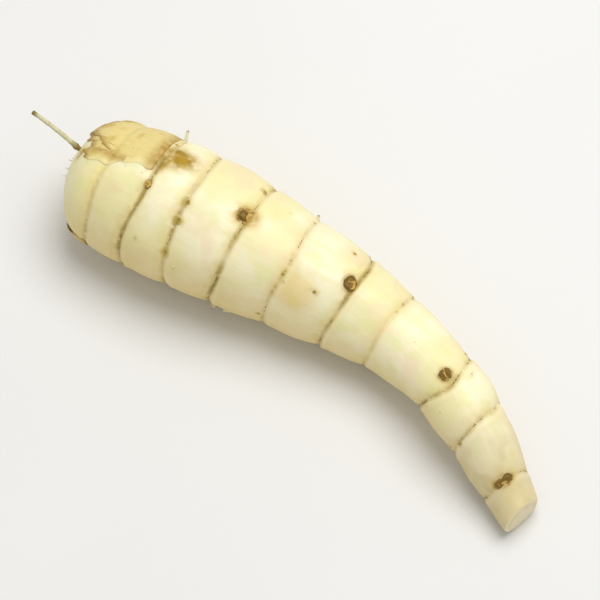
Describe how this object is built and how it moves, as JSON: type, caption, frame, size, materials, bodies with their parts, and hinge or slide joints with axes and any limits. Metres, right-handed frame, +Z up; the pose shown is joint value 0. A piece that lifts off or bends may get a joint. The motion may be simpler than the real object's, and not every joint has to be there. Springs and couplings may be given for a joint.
{
  "type": "arrowroot tuber",
  "caption": "Arrowroot tuber lying on its side: pale, ringed, blunt at the crown, bent towards a cut tip, with eyes and a broken root hair.",
  "frame": {"origin": "middle of the bottom of the tuber's box, on the surface that it lies on", "axes": "+X runs from the crown to the cut tip, along the longest side of its box; +Z is up"},
  "size_m": [0.18, 0.05, 0.0413],
  "materials": {
    "skin": "pale cream skin with a soft waxy sheen, thin olive-brown rings, dark brown eyes and tan scale remains"
  },
  "bodies": {
    "root": {"tuber": "skin"}
  },
  "joints": []
}
